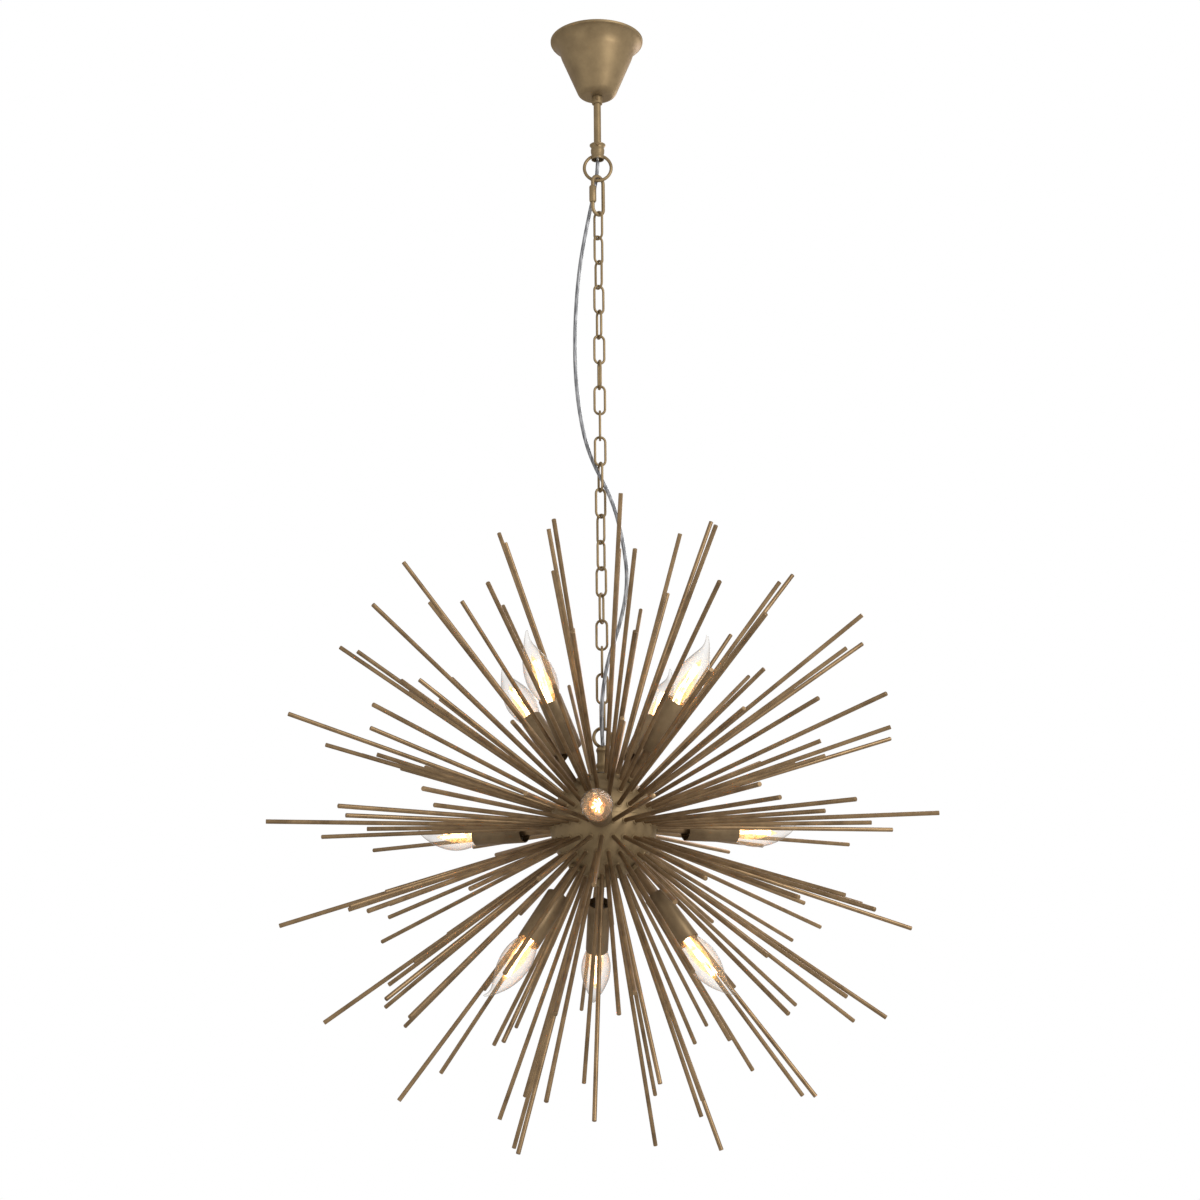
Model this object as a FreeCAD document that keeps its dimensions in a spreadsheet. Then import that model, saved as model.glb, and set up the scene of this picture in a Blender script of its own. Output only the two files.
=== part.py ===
"""Starburst chandelier: canopy, stem, ring, quick link, chain and a hub of straight rods and ten candle lamps.

Millimetres, +Z up. The origin is on the ceiling plane, at the middle of the ceiling bracket, and the lamp hangs
down along -Z. The front of the chandelier faces -Y.
"""
import math
import os

import FreeCAD
import Part
from FreeCAD import Placement, Rotation, Vector

doc = FreeCAD.newDocument("starburst_chandelier")
sheet = doc.addObject("Spreadsheet::Sheet", "sizes")

SIZES = {
    # ceiling bracket, a flat steel bar with two slots for the ceiling screws
    "bracket_length": 102,
    "bracket_width": 22,
    "bracket_thickness": 2.5,
    "bracket_slot_spacing": 72,
    "bracket_slot_length": 16,
    "bracket_slot_width": 4.5,
    # bell canopy, spun from sheet
    "canopy_rim_diameter": 115,
    "canopy_rim_lip": 3,
    "canopy_shoulder_diameter": 88,
    "canopy_shoulder_depth": 22,
    "canopy_neck_diameter": 50,
    "canopy_corner_radius": 9,
    "canopy_height": 75,
    "canopy_wall": 1.2,
    # collar that clamps the canopy to the stem
    "collar_diameter": 13,
    "collar_height": 10,
    "set_screw_diameter": 3,
    "set_screw_stand_out": 1.2,
    # stem tube
    "stem_diameter": 9,
    "stem_bore": 6.5,
    "stem_length": 145,
    "lock_nut_across": 16,
    "lock_nut_height": 5,
    # conical cap with a cross pin, on the stem's lower end
    "cap_top_diameter": 19.5,
    "cap_end_diameter": 16,
    "cap_height": 20,
    "cap_grip": 6,
    "cap_slot_width": 5.2,
    "cap_slot_depth": 9,
    "cap_pin_diameter": 3,
    "cap_pin_rise": 1.8,
    "cap_cord_hole": 6.5,
    "cap_cord_offset": 4.4,
    # ring and quick link
    "ring_outer_diameter": 37,
    "ring_wire": 4,
    "quick_link_length": 54.9,
    "quick_link_rise": 0.9,
    "quick_link_width": 21,
    "quick_link_wire": 4.5,
    "quick_link_turn": 40,
    "quick_link_gap": 5,
    "quick_link_gap_rise": 5,
    "quick_nut_across": 8,
    "quick_nut_length": 21,
    # chain
    "chain_links": 20,
    "chain_wire": 3,
    "chain_link_length": 38.2,
    "chain_link_width": 15.5,
    "chain_slack": 0.2,
    "chain_square_link": 9,
    "chain_twist_above": -6,
    "chain_twist_below": 10,
    # cord
    "cord_diameter": 4.5,
    # loop and collar on the hub
    "loop_wire": 4,
    "loop_outer_diameter": 26,
    "loop_collar_diameter": 16,
    "loop_collar_height": 30,
    # hub
    "hub_diameter": 122,
    "hub_wall": 2.5,
    "hub_pole_hole": 11,
    "hub_row_step": 17.5,
    "hub_tube_diameter": 10,
    "hub_nut_across": 17,
    "hub_nut_height": 6,
    "bottom_cap_diameter": 24,
    "bottom_cap_height": 9,
    "terminal_ring_diameter": 34,
    "terminal_ring_height": 14,
    # rods, by the distance of their cut ends from the hub's centre
    "rod_diameter": 5,
    "rod_reach_long": 382,
    "rod_reach_medium": 346,
    "rod_reach_short": 306,
    "rod_reach_least": 272,
    # lamps, by distance from the hub's centre
    "nipple_diameter": 10,
    "nipple_nut_across": 15,
    "nipple_nut_height": 5,
    "sleeve_start": 104,
    "sleeve_length": 65,
    "sleeve_diameter": 26.5,
    "sleeve_wall": 1,
    "disc_depth": 8,
    "disc_thickness": 2,
    "holder_diameter": 19,
    "holder_length": 36,
    "holder_floor": 8,
    "bulb_cap_diameter": 12,
    "bulb_diameter": 35,
    "bulb_glass_length": 100,
    "bulb_tip_bend": 9,
    # clearances
    "running_fit": 0.1,
    "joint_gap": 0.3,
}
for row, (alias, value) in enumerate(SIZES.items(), start=1):
    sheet.set(f"A{row}", alias)
    sheet.set(f"B{row}", str(value))
    sheet.setAlias(f"B{row}", alias)
doc.recompute()

# Rod rows by latitude on the hub, top to bottom: latitude in steps, holes, azimuth of the first hole and rod
# lengths. A row's lengths repeat round it: l long, m medium, s short, x least.
ROWS = [
    ("rods_row_1", 4, 9, 10, "lmlslmlmm"),
    ("rods_row_2", 3, 16, -35, "xlmlxmls"),
    ("rods_row_3", 2, 24, 8, "slmxlmls"),
    ("rods_row_4", 1, 28, 4.5, "xlsmlxm"),
    ("rods_row_5", 0, 28, -2, "mxls"),
    ("rods_row_6", -1, 28, -2, "slxmlsx"),
    ("rods_row_7", -2, 24, 6, "mslxmlsl"),
    ("rods_row_8", -3, 18, -55, "mslxlsmll"),
    ("rods_row_9", -4, 9, -6, "mslmlslml"),
]
# Holes that hold a lamp instead of a rod, by row.
LAMP_HOLES = {"rods_row_2": (0, 4, 8, 12), "rods_row_5": (0, 9, 19), "rods_row_8": (0, 6, 12)}
REACH = {"l": "rod_reach_long", "m": "rod_reach_medium", "s": "rod_reach_short", "x": "rod_reach_least"}

ROD_SIDES = 8
SLEEVE_SIDES = 16
HOLDER_SIDES = 12
BULB_SIDES = 12
WIRE_SIDES = 8
CHAIN_SIDES = 6
UP = Vector(0, 0, 1)


def size(alias):
    return float(sheet.get(alias))


def bind(thing, **expressions):
    """Binds properties to cells: an expression names aliases as sizes.alias."""
    for name, expression in expressions.items():
        thing.setExpression(name, expression)
    return thing


def cylinder(name, diameter, height, base=Vector(), along=UP):
    thing = bind(doc.addObject("Part::Cylinder", name), Radius=f"({diameter}) / 2", Height=height)
    thing.Placement = Placement(base, Rotation(UP, along))
    return thing


def prism(name, sides, diameter, height, base=Vector(), along=UP):
    """Regular prism whose corners lie on the diameter."""
    thing = doc.addObject("Part::Prism", name)
    thing.Polygon = sides
    bind(thing, Circumradius=f"({diameter}) / 2", Height=height)
    thing.Placement = Placement(base, Rotation(UP, along))
    return thing


def hex_bar(name, across, height, base=Vector(), along=UP):
    return prism(name, 6, f"({across}) / cos(30)", height, base, along)


def box(name, length, width, height, base):
    thing = bind(doc.addObject("Part::Box", name), Length=length, Width=width, Height=height)
    thing.Placement = Placement(base, Rotation())
    return thing


def cut(name, base, *tools):
    for number, tool in enumerate(tools, start=1):
        last = number == len(tools)
        result = doc.addObject("Part::Cut", name if last else f"{name}_cut_{number}")
        result.Base = base
        result.Tool = tool
        base = result
    return base


def fuse(name, *things):
    result = doc.addObject("Part::MultiFuse", name)
    result.Shapes = list(things)
    return result


def group(name, things):
    result = doc.addObject("Part::Compound", name)
    result.Links = list(things)
    return result


def turned(name, profile):
    """Body turned about Z. The profile is a closed list of (radius, z); an arc to a point is (radius, z, mid)."""
    body = doc.addObject("PartDesign::Body", name)
    sketch = body.newObject("Sketcher::SketchObject", f"{name}_profile")
    plane = next(f for f in body.Origin.OriginFeatures if f.Role == "XZ_Plane")
    sketch.AttachmentSupport = [(plane, "")]
    sketch.MapMode = "FlatFace"
    start = profile[-1]
    for point in profile:
        here = Vector(start[0], start[1], 0)
        there = Vector(point[0], point[1], 0)
        if len(point) == 3:
            middle = Vector(point[2][0], point[2][1], 0)
            sketch.addGeometry(Part.Arc(here, middle, there), False)
        else:
            sketch.addGeometry(Part.LineSegment(here, there), False)
        start = point
    spin = body.newObject("PartDesign::Revolution", f"{name}_turning")
    spin.Profile = sketch
    spin.ReferenceAxis = (sketch, ["V_Axis"])
    spin.Angle = 360
    return body


def arc_middle(centre, radius, degrees):
    a = math.radians(degrees)
    return (centre[0] + radius * math.cos(a), centre[1] + radius * math.sin(a))


def bar(points, radius, sides, closed=False):
    """Solid bar of a flat-sided section along straight runs, mitred where they meet."""
    count = len(points)
    runs = [(points[(i + 1) % count] - points[i]).normalize() for i in range(count if closed else count - 1)]
    first = runs[0]
    side = first.cross(UP) if abs(first.z) < 0.9 else first.cross(Vector(0, 1, 0))
    side.normalize()
    other = first.cross(side)
    turns = [math.radians(360 * (i + 0.5) / sides) for i in range(sides)]
    ring = [points[0] + side * (radius * math.cos(a)) + other * (radius * math.sin(a)) for a in turns]
    if closed:
        ring = [onto(p, first, points[0], runs[-1] + first) for p in ring]
    rings = [ring]
    for i in range(1, count):
        mitre = runs[i - 1] + runs[i % len(runs)] if (closed or i < count - 1) else runs[i - 1]
        rings.append([onto(p, runs[i - 1], points[i], mitre) for p in rings[-1]])
    faces = []
    pairs = list(zip(rings, rings[1:])) + ([(rings[-1], rings[0])] if closed else [])
    for near, far in pairs:
        for i in range(sides):
            k = (i + 1) % sides
            faces.append(polygon_face([near[i], near[k], far[k], far[i]]))
    if not closed:
        faces += [polygon_face(rings[0]), polygon_face(rings[-1])]
    return solid_of(faces)


def onto(point, direction, through, normal):
    """The point moved along a direction onto the plane through a point."""
    return point + direction * ((through - point).dot(normal) / direction.dot(normal))


def polygon_face(corners):
    return Part.Face(Part.makePolygon(list(corners) + [corners[0]]))


def solid_of(faces):
    shell = Part.Shell(faces)
    shell.sewShape()
    solid = Part.Solid(shell)
    if solid.Volume < 0:
        solid.reverse()
    return solid


def long_loop(length, width, wire, steps):
    """Corner points of a long link's centre line in the XZ plane, with its middle at the origin."""
    half = (width - wire) / 2
    rise = (length - width) / 2
    points = []
    for end in (1, -1):
        for i in range(steps + 1):
            a = math.pi * i / steps
            points.append(Vector(end * half * math.cos(a), 0, end * (rise + half * math.sin(a))))
    return points


def feature(name, shape, placement=Placement()):
    thing = doc.addObject("Part::Feature", name)
    thing.Shape = shape
    thing.Placement = placement
    return thing


# Heights down the suspension, from the ceiling plane.
stem_end_z = -size("stem_length")
cap_top_z = stem_end_z + size("cap_grip")
cap_end_z = cap_top_z - size("cap_height")
pin_z = cap_end_z + size("cap_pin_rise")
gap = size("joint_gap")
ring_radius = (size("ring_outer_diameter") - size("ring_wire")) / 2
ring_z = pin_z + size("cap_pin_diameter") / 2 + gap + size("ring_wire") / 2 - ring_radius
ring_foot_z = ring_z - ring_radius
# The quick link hangs at a slant to the ring, so its crown rests on its sides and rises above a square fit.
quick_top_z = ring_foot_z + size("ring_wire") / 2 + gap + size("quick_link_rise") + size("quick_link_wire")
quick_z = quick_top_z - size("quick_link_length") / 2
quick_seat_z = quick_top_z - size("quick_link_length") + size("quick_link_wire")
chain_top_z = quick_seat_z + size("chain_slack") + size("chain_wire")
chain_pitch = size("chain_link_length") - 2 * size("chain_wire") - size("chain_slack")
links = int(size("chain_links"))
chain_seat_z = chain_top_z - (links - 1) * chain_pitch - size("chain_link_length") + size("chain_wire")
loop_radius = (size("loop_outer_diameter") - size("loop_wire")) / 2
loop_z = chain_seat_z + gap + size("loop_wire") / 2 - loop_radius
collar_top_z = loop_z - loop_radius
hub_top_z = collar_top_z - size("loop_collar_height")
hub_radius = size("hub_diameter") / 2
hub_z = hub_top_z - hub_radius
hub_centre = Vector(0, 0, hub_z)


# Ceiling bracket: bar with two slots in a line and a middle hole for the stem.
def ceiling_bracket():
    long_side = size("bracket_length")
    wide = size("bracket_width")
    thick = size("bracket_thickness")
    blank = box(
        "bracket_blank", "sizes.bracket_length", "sizes.bracket_width", "sizes.bracket_thickness",
        Vector(-long_side / 2, -wide / 2, -thick),
    )
    tools = [cylinder("bracket_middle_hole", "sizes.stem_diameter + 2 * sizes.running_fit",
                      "sizes.bracket_thickness", Vector(0, 0, -thick))]
    reach = (size("bracket_slot_length") - size("bracket_slot_width")) / 2
    for side in (-1, 1):
        middle = side * size("bracket_slot_spacing") / 2
        ends = [
            cylinder(f"slot_end_{side + 1}_{end + 1}", "sizes.bracket_slot_width", "sizes.bracket_thickness",
                     Vector(middle + end * reach, 0, -thick))
            for end in (-1, 1)
        ]
        flat = box(
            f"slot_flat_{side + 1}", "sizes.bracket_slot_length - sizes.bracket_slot_width",
            "sizes.bracket_slot_width", "sizes.bracket_thickness",
            Vector(middle - reach, -size("bracket_slot_width") / 2, -thick),
        )
        tools.append(fuse(f"slot_{side + 1}", flat, *ends))
    return cut("ceiling_bracket", blank, *tools)


# Canopy: rolled lip, coved flange, bell and a flat neck with a hole for the stem.
def canopy():
    wall = size("canopy_wall")
    rim = size("canopy_rim_diameter") / 2
    lip = size("canopy_rim_lip")
    shoulder = size("canopy_shoulder_diameter") / 2
    depth = size("canopy_shoulder_depth")
    neck = size("canopy_neck_diameter") / 2
    corner = size("canopy_corner_radius")
    foot = size("canopy_height")
    hole = size("stem_diameter") / 2 + gap
    cove = (shoulder + 0.36 * (rim - shoulder), -lip - 0.42 * (depth - lip))
    bell = (neck + 0.62 * (shoulder - neck), -depth - 0.47 * (foot - corner - depth))
    bend = arc_middle((neck - corner, corner - foot), corner, -45)
    inner = arc_middle((neck - corner, corner - foot), corner - wall, -45)
    profile = [
        (rim, 0),
        (rim, -lip),
        (shoulder, -depth, cove),
        (neck, corner - foot, bell),
        (neck - corner, -foot, bend),
        (hole, -foot),
        (hole, wall - foot),
        (neck - corner, wall - foot),
        (neck - wall, corner - foot, inner),
        (shoulder - wall, wall - depth, (bell[0] - wall, bell[1] + wall / 2)),
        (rim - wall, wall - lip, (cove[0] - wall / 2, cove[1] + wall)),
        (rim - wall, 0),
    ]
    return turned("canopy", profile)


def collar():
    """Clamp collar under the canopy, drilled from the front for its set screw."""
    foot = -size("canopy_height") - size("collar_height")
    ring = cylinder("collar_blank", "sizes.collar_diameter", "sizes.collar_height", Vector(0, 0, foot))
    bore = cylinder("collar_bore", "sizes.stem_diameter + 2 * sizes.running_fit", "sizes.collar_height",
                    Vector(0, 0, foot))
    middle = Vector(0, 0, foot + size("collar_height") / 2)
    drill = cylinder("collar_drill", "sizes.set_screw_diameter", "sizes.collar_diameter", middle, Vector(0, -1, 0))
    return cut("canopy_collar", ring, bore, drill)


def collar_screw():
    middle = Vector(0, -size("stem_diameter") / 2 - size("running_fit"), -size("canopy_height")
                    - size("collar_height") / 2)
    length = ("sizes.collar_diameter / 2 - sizes.stem_diameter / 2 - sizes.running_fit"
              " + sizes.set_screw_stand_out")
    return cylinder("collar_set_screw", "sizes.set_screw_diameter", length, middle, Vector(0, -1, 0))


def stem():
    tube = cylinder("stem_bar", "sizes.stem_diameter", "sizes.stem_length", Vector(0, 0, stem_end_z))
    bore = cylinder("stem_hole", "sizes.stem_bore", "sizes.stem_length", Vector(0, 0, stem_end_z))
    return cut("stem", tube, bore)


def stem_lock_nut():
    foot = Vector(0, 0, -size("bracket_thickness") - size("lock_nut_height"))
    nut = hex_bar("lock_nut_blank", "sizes.lock_nut_across", "sizes.lock_nut_height", foot)
    bore = cylinder("lock_nut_bore", "sizes.stem_diameter", "sizes.lock_nut_height", foot)
    return cut("stem_lock_nut", nut, bore)


def stem_cap():
    """Tapered cap, slotted from below for the ring and drilled for the stem, the pin and the cord."""
    taper = doc.addObject("Part::Cone", "cap_blank")
    bind(taper, Radius1="sizes.cap_end_diameter / 2", Radius2="sizes.cap_top_diameter / 2",
         Height="sizes.cap_height")
    taper.Placement = Placement(Vector(0, 0, cap_end_z), Rotation())
    socket = cylinder("cap_socket", "sizes.stem_diameter", "sizes.cap_grip", Vector(0, 0, stem_end_z))
    wide = size("cap_top_diameter")
    slot = box("cap_slot", "sizes.cap_top_diameter", "sizes.cap_slot_width", "sizes.cap_slot_depth",
               Vector(-wide / 2, -size("cap_slot_width") / 2, cap_end_z))
    pin_hole = cylinder("cap_pin_hole", "sizes.cap_pin_diameter", "sizes.cap_top_diameter",
                        Vector(0, -wide / 2, pin_z), Vector(0, 1, 0))
    cord_hole = cylinder("cap_cord_way", "sizes.cap_cord_hole", "sizes.cap_height - sizes.cap_grip",
                         Vector(0, size("cap_cord_offset"), cap_end_z))
    drill = cylinder("cap_screw_hole", "sizes.set_screw_diameter", "sizes.cap_top_diameter",
                     Vector(0, 0, stem_end_z + size("cap_grip") / 2), Vector(0, -1, 0))
    return cut("stem_cap", taper, socket, slot, pin_hole, cord_hole, drill)


def cap_pin():
    half = size("cap_end_diameter") / 2
    return cylinder("cap_cross_pin", "sizes.cap_pin_diameter", "sizes.cap_end_diameter",
                    Vector(0, -half, pin_z), Vector(0, 1, 0))


def cap_screw():
    middle = Vector(0, -size("stem_diameter") / 2, stem_end_z + size("cap_grip") / 2)
    length = "(sizes.cap_top_diameter - sizes.stem_diameter) / 2 + sizes.set_screw_stand_out"
    return cylinder("cap_set_screw", "sizes.set_screw_diameter", length, middle, Vector(0, -1, 0))


def hanging_ring():
    steps = 20
    points = [
        Vector(ring_radius * math.cos(2 * math.pi * i / steps), 0, ring_radius * math.sin(2 * math.pi * i / steps))
        for i in range(steps)
    ]
    shape = bar(points, size("ring_wire") / 2, WIRE_SIDES, closed=True)
    return feature("hanging_ring", shape, Placement(Vector(0, 0, ring_z), Rotation()))


quick_place = Placement(Vector(0, 0, quick_z), Rotation(UP, size("quick_link_turn")))
quick_side = (size("quick_link_width") - size("quick_link_wire")) / 2


def quick_link():
    """Long link with a gap in its left side, which the nut closes."""
    loop = long_loop(size("quick_link_length"), size("quick_link_width"), size("quick_link_wire"), 6)
    low = size("quick_link_gap_rise")
    high = low + size("quick_link_gap")
    upper = loop[:7]
    lower = loop[7:]
    path = [Vector(-quick_side, 0, low)] + lower + upper + [Vector(-quick_side, 0, high)]
    shape = bar(path, size("quick_link_wire") / 2, WIRE_SIDES)
    return feature("quick_link", shape, quick_place)


def quick_link_nut():
    half = size("quick_nut_length") / 2
    base = quick_place.multVec(Vector(-quick_side, 0, -half))
    nut = hex_bar("quick_nut_blank", "sizes.quick_nut_across", "sizes.quick_nut_length", base)
    bore = cylinder("quick_nut_bore", "sizes.quick_link_wire + 2 * sizes.running_fit",
                    "sizes.quick_nut_length", base)
    return cut("quick_link_nut", nut, bore)


def link_turn(number):
    """Turn of a link about the chain, square to its neighbours apart from the chain's slow twist."""
    past = number - size("chain_square_link")
    rate = size("chain_twist_below") if past > 0 else size("chain_twist_above")
    return 90 * (number % 2) + rate * past


def chain():
    """Twenty long links of round wire, each hanging in the one above."""
    loop = long_loop(size("chain_link_length"), size("chain_link_width"), size("chain_wire"), 5)
    link = bar(loop, size("chain_wire") / 2, CHAIN_SIDES, closed=True)
    pieces = []
    for number in range(1, links + 1):
        middle = chain_top_z - (number - 1) * chain_pitch - size("chain_link_length") / 2
        place = Placement(Vector(0, 0, middle), Rotation(UP, link_turn(number)))
        pieces.append(feature(f"chain_link_{number}", link, place))
    return group("chain_links", pieces)


# The cord's route, from the cap to the loop's collar: left of the chain, through the eleventh link, right of it,
# and down in front of the lowest links.
CORD_ROUTE = [
    (0, 4.6, -159.4),
    (-1, 6.2, -178),
    (-6, 9, -204),
    (-15, 9, -247),
    (-24, 8, -300),
    (-29, 7, -360),
    (-30, 8, -420),
    (-25.5, 9, -478),
    (-14.1, 8.2, -535),
    (14.1, -8.2, -595),
    (26, -10, -646),
    (31.5, -9, -696),
    (22, -9, -745),
    (6, -10.5, -790),
    (-1, -11, -836),
    (-1, -10.5, -868),
    (0, -6.6, -888),
]
ARC_SHARE = 0.45
CHORD_TURN = 14


def rounded_route(points):
    """Straight runs joined by tangent arcs, each as large as its two runs allow, as short chords."""
    path = [points[0]]
    radii = []
    for before, here, after in zip(points, points[1:], points[2:]):
        back = before - here
        ahead = after - here
        reach = ARC_SHARE * min(back.Length, ahead.Length)
        turn = math.pi - back.getAngle(ahead)
        radius = reach / math.tan(turn / 2)
        radii.append(radius)
        back.normalize()
        ahead.normalize()
        centre = here + (back + ahead).normalize() * (radius / math.cos(turn / 2))
        start = here + back * reach - centre
        square = start.cross(back * -1).normalize().cross(start)
        chords = max(1, math.ceil(math.degrees(turn) / CHORD_TURN))
        for step in range(chords + 1):
            a = turn * step / chords
            path.append(centre + start * math.cos(a) + square * math.sin(a))
    path.append(points[-1])
    print("cord radii, mm:", [round(r, 1) for r in radii])
    return path


def power_cord():
    path = rounded_route([Vector(*p) for p in CORD_ROUTE])
    shape = bar(path, size("cord_diameter") / 2, WIRE_SIDES)
    length = sum((b - a).Length for a, b in zip(path, path[1:]))
    section = WIRE_SIDES / 2 * math.sin(2 * math.pi / WIRE_SIDES) * (size("cord_diameter") / 2) ** 2
    print(f"cord length {length:.1f} mm, volume {shape.Volume:.0f}, section by length {section * length:.0f}")
    return feature("power_cord", shape)


# Hub loop: an eye on a turned collar that screws on the hub's middle tube.
def hub_loop():
    steps = 16
    eye_turn = link_turn(links) - 90
    points = [
        Vector(loop_radius * math.cos(2 * math.pi * i / steps), 0, loop_radius * math.sin(2 * math.pi * i / steps))
        for i in range(steps)
    ]
    eye = feature("loop_eye", bar(points, size("loop_wire") / 2, WIRE_SIDES, closed=True),
                  Placement(Vector(0, 0, loop_z), Rotation(UP, eye_turn)))
    collar_part = cylinder("loop_collar", "sizes.loop_collar_diameter", "sizes.loop_collar_height",
                           Vector(0, 0, hub_top_z))
    socket = cylinder("loop_socket", "sizes.hub_tube_diameter", "sizes.loop_collar_height / 2",
                      Vector(0, 0, hub_top_z))
    return cut("hub_loop", fuse("loop_solid", eye, collar_part), socket)


def hub_profile(low_step, high_step):
    """Shell profile from one latitude to another, in steps: a flat band for each rod row, and the wall inside."""
    step = math.radians(size("hub_row_step"))
    wall = size("hub_wall")
    corner = hub_radius / math.cos(step / 2)
    hole = size("hub_pole_hole") / 2
    outside = []
    inside = []
    latitude = low_step
    while latitude <= high_step + 0.01:
        a = latitude * step
        outside.append((corner * math.cos(a), hub_z + corner * math.sin(a)))
        inside.append(((corner - wall) * math.cos(a), hub_z + (corner - wall) * math.sin(a)))
        latitude += 1
    for points, radius in ((outside, hub_radius), (inside, hub_radius - wall)):
        if high_step > 4:
            points.append((hole, hub_z + radius))
            points[-2] = (points[-2][0], hub_z + radius)
        if low_step < -4:
            points.insert(0, (hole, hub_z - radius))
            points[1] = (points[1][0], hub_z - radius)
    return outside + inside[::-1]


def terminal_ring():
    """Connector ring on the hub's middle tube, where the ten lamps' leads join the cord."""
    foot = Vector(0, 0, hub_z - size("terminal_ring_height") / 2)
    ring = prism("terminal_blank", HOLDER_SIDES, "sizes.terminal_ring_diameter",
                 "sizes.terminal_ring_height", foot)
    bore = cylinder("terminal_bore", "sizes.hub_tube_diameter", "sizes.terminal_ring_height", foot)
    return cut("terminal_ring", ring, bore)


def hub_tube():
    """Threaded tube through the hub, from the loop's socket to the bottom cap."""
    low = hub_z - hub_radius - size("bottom_cap_height") / 2
    length = f"{hub_top_z - low} + sizes.loop_collar_height / 2"
    return cylinder("hub_tube", "sizes.hub_tube_diameter", length, Vector(0, 0, low))


def hub_inner_nut():
    """Nut inside the lower shell that locks it against the bottom cap."""
    foot = Vector(0, 0, hub_z - hub_radius + size("hub_wall"))
    nut = hex_bar("inner_nut_blank", "sizes.hub_nut_across", "sizes.hub_nut_height", foot)
    bore = cylinder("inner_nut_bore", "sizes.hub_tube_diameter", "sizes.hub_nut_height", foot)
    return cut("hub_inner_nut", nut, bore)


def bottom_cap():
    """Domed cap nut under the hub."""
    radius = size("bottom_cap_diameter") / 2
    top = hub_z - hub_radius
    deep = size("bottom_cap_height")
    bore = size("hub_tube_diameter") / 2
    profile = [
        (radius, top),
        (radius, top - deep / 3),
        (radius * 0.86, top - deep * 0.66),
        (radius * 0.55, top - deep * 0.9),
        (radius * 0.15, top - deep),
        (0, top - deep),
        (0, top - deep / 2),
        (bore, top - deep / 2),
        (bore, top),
    ]
    return turned("hub_bottom_cap", profile)


def outward(steps, azimuth):
    """Unit vector from the hub's centre. Azimuth 0 is the front, and it grows to the right."""
    lat = math.radians(steps * size("hub_row_step"))
    turn = math.radians(azimuth)
    return Vector(math.cos(lat) * math.sin(turn), -math.cos(lat) * math.cos(turn), math.sin(lat))


def rod_row(name, steps, holes, first, lengths):
    """One row of rods that stand square on the hub, apart from the holes that hold lamps."""
    rods = []
    for hole in range(holes):
        if hole in LAMP_HOLES.get(name, ()):
            continue
        way = outward(steps, first + 360 * hole / holes)
        reach = REACH[lengths[hole % len(lengths)]]
        rods.append(prism(f"{name}_rod_{hole + 1}", ROD_SIDES, "sizes.rod_diameter",
                          f"sizes.{reach} - sizes.hub_diameter / 2", hub_centre + way * hub_radius, way))
    return group(name, rods)


def lamp_ways():
    """The direction of each lamp, top to bottom."""
    ways = []
    for name, steps, holes, first, _ in ROWS:
        ways += [outward(steps, first + 360 * hole / holes) for hole in LAMP_HOLES.get(name, ())]
    return ways


def lamp_nipples(ways):
    length = "sizes.sleeve_start + sizes.disc_depth - sizes.hub_diameter / 2"
    things = [prism(f"nipple_{i}", ROD_SIDES, "sizes.nipple_diameter", length, hub_centre + way * hub_radius, way)
              for i, way in enumerate(ways, start=1)]
    return group("lamp_nipples", things)


def lamp_nuts(ways):
    """Hexagon nuts that lock the nipples against the hub."""
    things = []
    for i, way in enumerate(ways, start=1):
        base = hub_centre + way * (hub_radius + gap)
        nut = hex_bar(f"nipple_nut_blank_{i}", "sizes.nipple_nut_across", "sizes.nipple_nut_height", base, way)
        bore = prism(f"nipple_nut_bore_{i}", ROD_SIDES, "sizes.nipple_diameter",
                     "sizes.nipple_nut_height", base, way)
        things.append(cut(f"nipple_nut_{i}", nut, bore))
    return group("lamp_nuts", things)


def lamp_sleeves(ways):
    """Sleeves of thin tube, open at both ends."""
    things = []
    for i, way in enumerate(ways, start=1):
        base = hub_centre + way * size("sleeve_start")
        tube = prism(f"sleeve_blank_{i}", SLEEVE_SIDES, "sizes.sleeve_diameter", "sizes.sleeve_length", base, way)
        bore = prism(f"sleeve_bore_{i}", SLEEVE_SIDES, "sizes.sleeve_diameter - 2 * sizes.sleeve_wall",
                     "sizes.sleeve_length", base, way)
        things.append(cut(f"sleeve_{i}", tube, bore))
    return group("lamp_sleeves", things)


def lamp_discs(ways):
    """Discs that carry the sleeves and the lampholders on the nipples' ends."""
    things = [
        prism(f"disc_{i}", SLEEVE_SIDES, "sizes.sleeve_diameter - 2 * sizes.sleeve_wall", "sizes.disc_thickness",
              hub_centre + way * (size("sleeve_start") + size("disc_depth")), way)
        for i, way in enumerate(ways, start=1)
    ]
    return group("lamp_discs", things)


holder_start = size("sleeve_start") + size("disc_depth") + size("disc_thickness")


def lampholders(ways):
    things = []
    for i, way in enumerate(ways, start=1):
        base = hub_centre + way * holder_start
        cup = prism(f"holder_blank_{i}", HOLDER_SIDES, "sizes.holder_diameter", "sizes.holder_length",
                    base, way)
        bore = prism(f"holder_bore_{i}", HOLDER_SIDES, "sizes.bulb_cap_diameter + 8 * sizes.running_fit",
                     "sizes.holder_length - sizes.holder_floor", base + way * size("holder_floor"), way)
        things.append(cut(f"holder_{i}", cup, bore))
    return group("lampholders", things)


# Bulb outline above the cap: (share of the glass length, share of the bulb's diameter, share of the tip's bend).
BULB_RINGS = [
    (0.0, 0.34, 0), (0.12, 0.5, 0), (0.26, 0.82, 0), (0.42, 1.0, 0), (0.58, 0.92, 0), (0.74, 0.63, 0.02),
    (0.86, 0.32, 0.16), (0.94, 0.17, 0.5), (1.0, 0.08, 1.0),
]


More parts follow.
